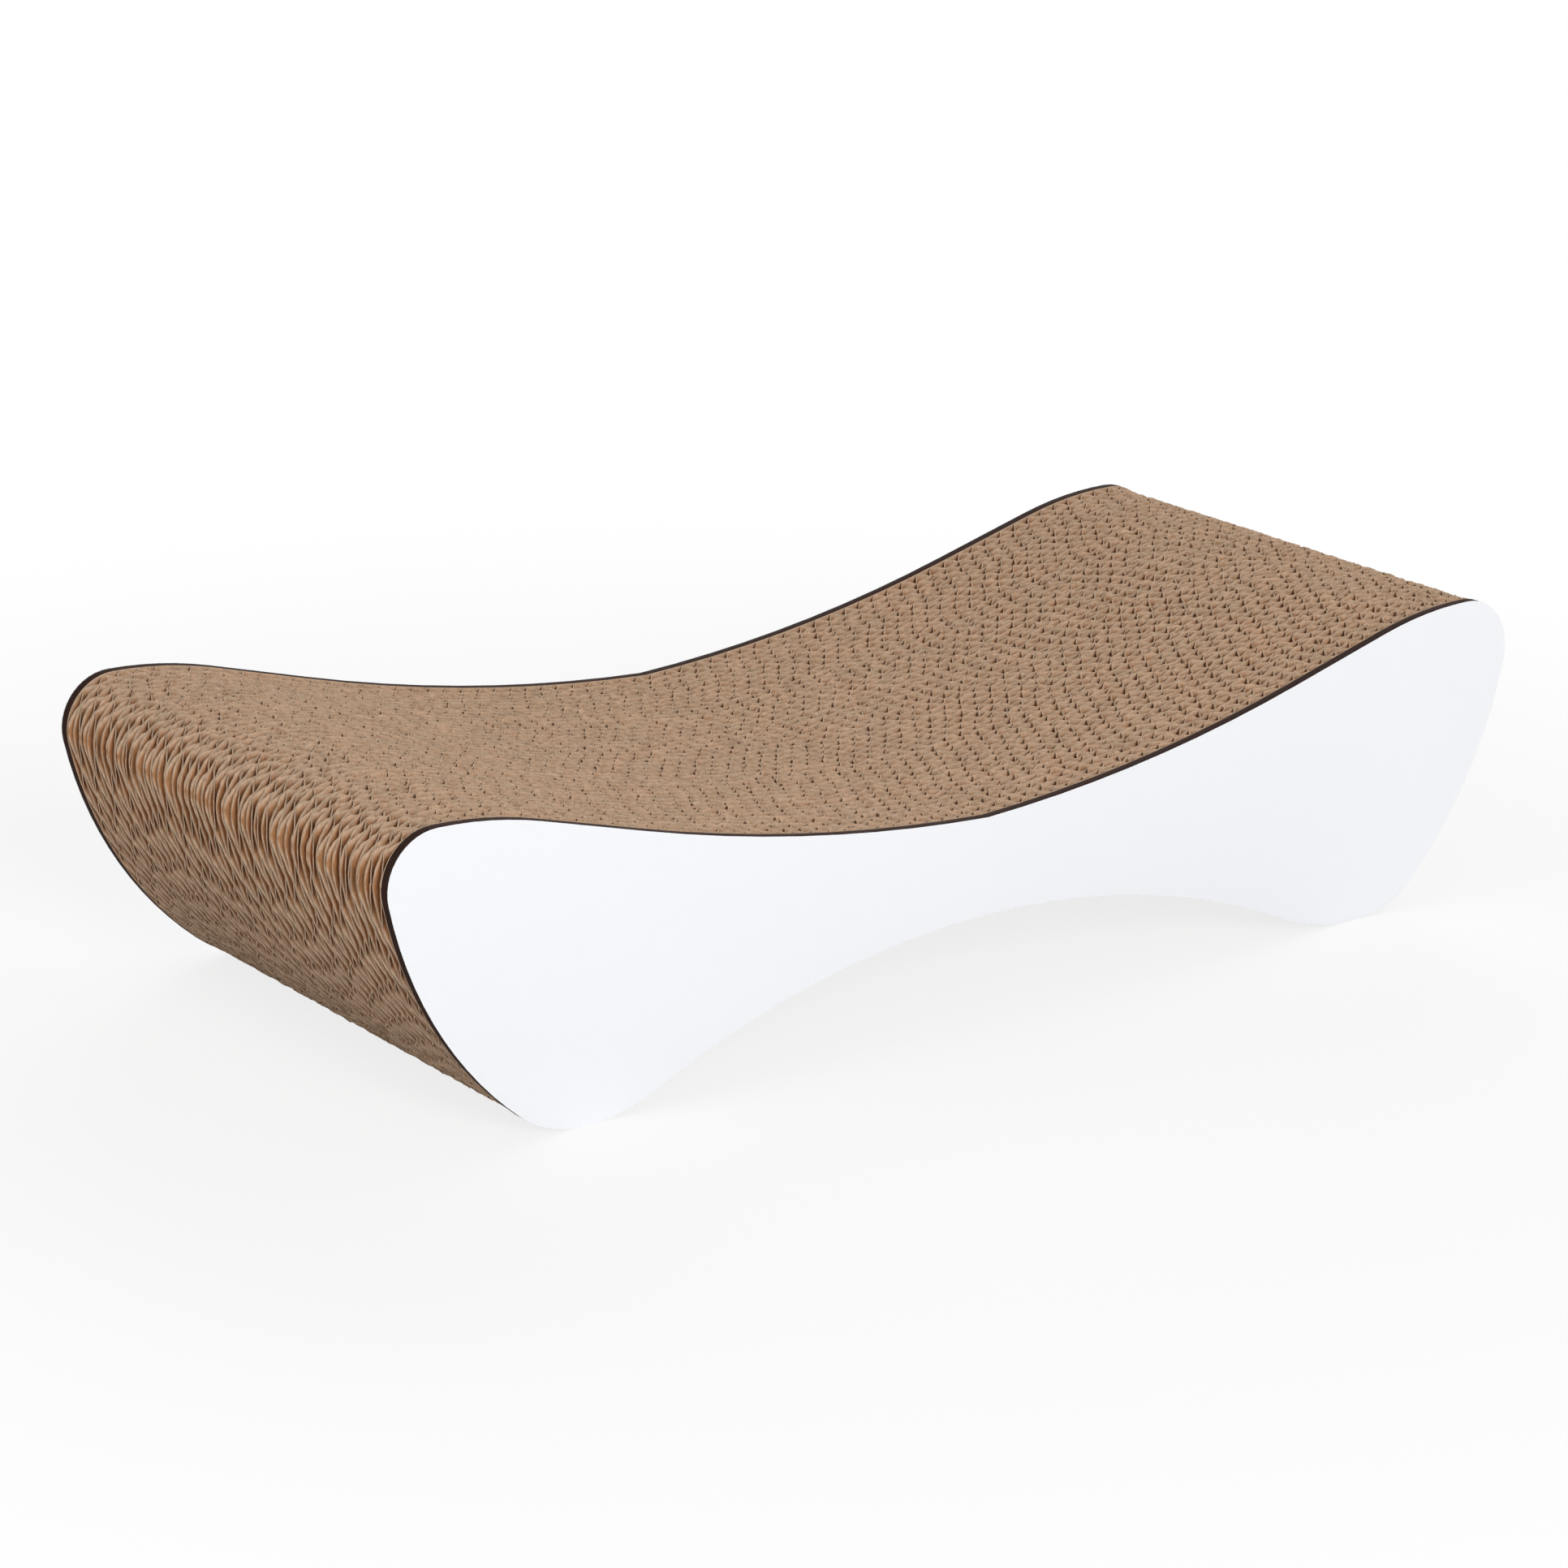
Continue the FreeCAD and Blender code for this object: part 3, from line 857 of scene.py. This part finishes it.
@dataclass
class SidePanel:
    """A hardboard panel of the full outline with a white film on its outer face."""

    side: Side
    edge_material: bpy.types.Material
    film_material: bpy.types.Material
    film: float = 0.25 * MM
    board_round: float = 0.35 * MM
    film_round: float = 0.1 * MM
    round_segments: int = 2
    # neighbouring facets of the outline that turn by less than this become one
    least_turn: float = math.radians(0.2)

    def build(self) -> list[bpy.types.Object]:
        """Make the board and its film.

        Returns:
            The two pieces.
        """
        low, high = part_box(self.side.value)
        outer, inner = (low.y, high.y) if self.side is Side.FRONT else (high.y, low.y)
        seam = outer - self.side.outward * self.film
        board = self.slab("board", inner, seam, self.board_round, self.edge_material)
        film = self.slab("film", seam, outer, self.film_round, self.film_material)
        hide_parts(self.side.value)
        return [board, film]

    def slab(
        self, part: str, start: float, end: float, rounding: float, material: bpy.types.Material
    ) -> bpy.types.Object:
        """Make one layer of the panel.

        Args:
            part: The layer's name.
            start: Where it starts across the width.
            end: Where it ends.
            rounding: The radius of its edges.
            material: Its surface.

        Returns:
            The piece.
        """
        mesh = merged_copy(self.side.value)
        shape = bmesh.new()
        shape.from_mesh(mesh)
        bmesh.ops.dissolve_limit(
            shape, angle_limit=self.least_turn, verts=shape.verts, edges=shape.edges
        )
        low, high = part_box(self.side.value)
        near, far = sorted((start, end))
        for vertex in shape.verts:
            vertex.co.y = near if vertex.co.y < (low.y + high.y) / 2 else far
        rim = [edge for edge in shape.edges if abs(edge.verts[0].co.y - edge.verts[1].co.y) < rounding]
        bmesh.ops.bevel(
            shape, geom=rim, offset=rounding, segments=self.round_segments, profile=0.5, affect="EDGES"
        )
        bmesh.ops.triangulate(shape, faces=[face for face in shape.faces if len(face.verts) > 4])
        put_in_order(shape)
        shape.to_mesh(mesh)
        shape.free()
        mesh.materials.clear()
        mesh.materials.append(material)
        piece = add_piece(f"{self.side.value}_{part}", mesh)
        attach(piece, BODY)
        return piece


# ---- shared by the pieces ----

# corners of a node's loose triangles that are nearer than this are one corner
MERGE_DISTANCE = 0.001 * MM


def merged_copy(node: str) -> bpy.types.Mesh:
    """Copy a node's mesh and join its loose triangles.

    Args:
        node: The node's name.

    Returns:
        The copy.
    """
    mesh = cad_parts[node].data.copy()
    shape = bmesh.new()
    shape.from_mesh(mesh)
    bmesh.ops.remove_doubles(shape, verts=shape.verts, dist=MERGE_DISTANCE)
    shape.to_mesh(mesh)
    shape.free()
    return mesh


def put_in_order(shape: bmesh.types.BMesh) -> None:
    """Number a shape's corners and faces by their places, since a bevel's own order differs between runs.

    Args:
        shape: The shape.
    """
    places = (
        (shape.verts, lambda vertex: tuple(vertex.co)),
        (shape.faces, lambda face: tuple(face.calc_center_median())),
    )
    for items, place in places:
        rank = {item: number for number, item in enumerate(sorted(items, key=place))}
        items.sort(key=rank.__getitem__)


def add_piece(name: str, mesh: bpy.types.Mesh) -> bpy.types.Object:
    """Add a finished mesh to the scene.

    Args:
        name: The piece's name.
        mesh: Its mesh, already in its place.

    Returns:
        The piece.
    """
    piece = bpy.data.objects.new(name, mesh)
    mesh.name = name
    bpy.context.scene.collection.objects.link(piece)
    return piece


# ---- the studio ----


@dataclass(frozen=True)
class PaleFloor(Finish):
    """A plain pale floor that looks white and keeps a soft shadow."""

    pale: Colour = (0.86, 0.86, 0.86)
    roughness: float = 0.9
    glow: float = 1.0
    # the share of the glow next to the object, and the distances over which it grows to all
    near_share: float = 0.82
    near: float = 0.35
    far: float = 0.75

    def material(self) -> bpy.types.Material:
        """The floor as a material.

        Returns:
            The material.
        """
        material, wiring, shader, place = self.start()
        shader.inputs["Base Color"].default_value = (*self.pale, 1.0)
        shader.inputs["Roughness"].default_value = self.roughness
        shader.inputs["Specular IOR Level"].default_value = 0.0
        white = wiring.node("ShaderNodeEmission", {"Strength": self.glow})
        from_middle = wiring.node("ShaderNodeVectorMath", {0: place}, operation="LENGTH").outputs["Value"]
        reach = {0: from_middle, 1: self.near, 2: self.far, 3: self.near_share, 4: 1.0}
        grown = wiring.node("ShaderNodeMapRange", reach, interpolation_type="SMOOTHSTEP")
        seen = wiring.math("MULTIPLY", seen_directly(wiring), grown.outputs[0])
        mix = wiring.node("ShaderNodeMixShader", {0: seen, 1: shader.outputs[0], 2: white.outputs[0]})
        wiring.feed(material.node_tree.nodes["Material Output"].inputs["Surface"], mix.outputs[0])
        return material


def seen_directly(wiring: Wiring) -> Socket:
    """Tell the rays that show a surface from the rays that light another one.

    Args:
        wiring: The wiring of a material or of the world.

    Returns:
        1 for a ray from the camera, a reflection or a view through glass, and otherwise 0.
    """
    path = wiring.node("ShaderNodeLightPath").outputs
    mirrored = wiring.math("MAXIMUM", path["Is Glossy Ray"], path["Is Transmission Ray"])
    return wiring.math("MAXIMUM", path["Is Camera Ray"], mirrored)


@dataclass
class Softbox:
    """A square area light that looks at the middle of the object."""

    name: str
    # the way to the light from the object
    heading: Vector
    # what a white surface that faces the light shows, where 1 is white
    level: float
    width: float
    distance: float = 4.0
    target: Vector = field(default_factory=lambda: Vector((0.0, 0.0, 0.08)))

    def build(self) -> bpy.types.Object:
        """Add the light to the scene.

        Returns:
            The light.
        """
        lamp = bpy.data.lights.new(self.name, "AREA")
        lamp.size = self.width
        lamp.energy = self.level * (math.pi * self.distance) ** 2
        light = bpy.data.objects.new(self.name, lamp)
        light.location = self.target + self.heading.normalized() * self.distance
        light.rotation_euler = self.heading.to_track_quat("Z", "Y").to_euler()
        bpy.context.scene.collection.objects.link(light)
        return light


@dataclass
class Studio:
    """The floor, the light and the camera."""

    floor_width: float = 30.0
    world_strength: float = 0.33
    # a key light in front, and weaker ones at the left and behind
    softboxes: tuple[Softbox, ...] = field(
        default_factory=lambda: (
            Softbox("key_light", Vector((-0.28, -0.8, 0.42)), level=0.63, width=1.2),
            Softbox("side_light", Vector((-0.95, -0.1, 0.3)), level=0.06, width=1.2),
            Softbox("back_light", Vector((0.6, 0.7, 0.5)), level=0.5, width=2.5),
        )
    )
    # the camera looks at a point on the front panel's face, at the photograph's angle
    lens: float = 103.12
    sensor: float = 36.0
    aim: Vector = field(default_factory=lambda: Vector((-113.6, -120.0, 123.5)) * MM)
    distance: float = 1766.3 * MM
    azimuth: float = math.radians(39.003)
    fall: float = math.radians(18.326)
    roll: float = math.radians(1.952)
    nearest_seen: float = 0.05
    farthest_seen: float = 100.0

    def build(self) -> None:
        """Add all of it to the scene."""
        self.add_floor()
        self.add_world()
        for softbox in self.softboxes:
            softbox.build()
        self.add_camera()
        bpy.context.scene.view_settings.view_transform = "Standard"

    def add_floor(self) -> None:
        """A flat floor just under the feet."""
        mesh = bpy.data.meshes.new("floor")
        reach = self.floor_width / 2
        corners = [(x * reach, y * reach, 0.0) for x, y in ((-1, -1), (1, -1), (1, 1), (-1, 1))]
        mesh.from_pydata(corners, [], [(0, 1, 2, 3)])
        mesh.materials.append(PaleFloor("pale_floor").material())
        add_piece("floor", mesh)

    def add_world(self) -> None:
        """A plain white surround, dimmer as a light than it looks."""
        world = bpy.data.worlds.new("studio")
        world.use_nodes = True
        wiring = Wiring(world.node_tree)
        white = (1.0, 1.0, 1.0, 1.0)
        surround = world.node_tree.nodes["Background"]
        surround.inputs["Color"].default_value = white
        surround.inputs["Strength"].default_value = self.world_strength
        backdrop = wiring.node("ShaderNodeBackground", {"Color": white, "Strength": 1.0})
        choice = {0: seen_directly(wiring), 1: surround.outputs[0], 2: backdrop.outputs[0]}
        mix = wiring.node("ShaderNodeMixShader", choice)
        wiring.feed(world.node_tree.nodes["World Output"].inputs["Surface"], mix.outputs[0])
        bpy.context.scene.world = world

    def add_camera(self) -> None:
        """The camera at the photograph's place."""
        data = bpy.data.cameras.new("camera")
        data.lens = self.lens
        data.sensor_width = self.sensor
        data.clip_start = self.nearest_seen
        data.clip_end = self.farthest_seen
        level = math.cos(self.fall)
        ahead = Vector(
            (math.sin(self.azimuth) * level, math.cos(self.azimuth) * level, -math.sin(self.fall))
        )
        camera = bpy.data.objects.new("camera", data)
        turn = ahead.to_track_quat("-Z", "Y").to_matrix() @ Matrix.Rotation(self.roll, 3, "Z")
        camera.matrix_world = Matrix.Translation(self.aim - ahead * self.distance) @ turn.to_4x4()
        bpy.context.scene.collection.objects.link(camera)
        bpy.context.scene.camera = camera


def main() -> None:
    """Build the pieces in order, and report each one."""
    logging.basicConfig(level=logging.INFO, format="%(name)s: %(message)s")
    Studio().build()
    edge = HardboardEdge("hardboard_edge").material()
    film = WhiteLaminate("white_laminate").material()
    pieces = []
    for side in Side:
        pieces += SidePanel(side, edge, film).build()
    sheet_nodes = sorted(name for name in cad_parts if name.startswith("sheet_"))
    paper = KraftPaper("kraft_paper")
    cut_paper = KraftPaper("cut_kraft_paper", warm=(0.555, 0.39, 0.27), olive=(0.53, 0.385, 0.27))
    pieces += CorrugatedStack(paper, cut_paper, sheet_nodes).build()
    for piece in pieces:
        log.info("%s: %d faces", piece.name, len(piece.data.polygons))


if __name__ == "__main__":
    main()
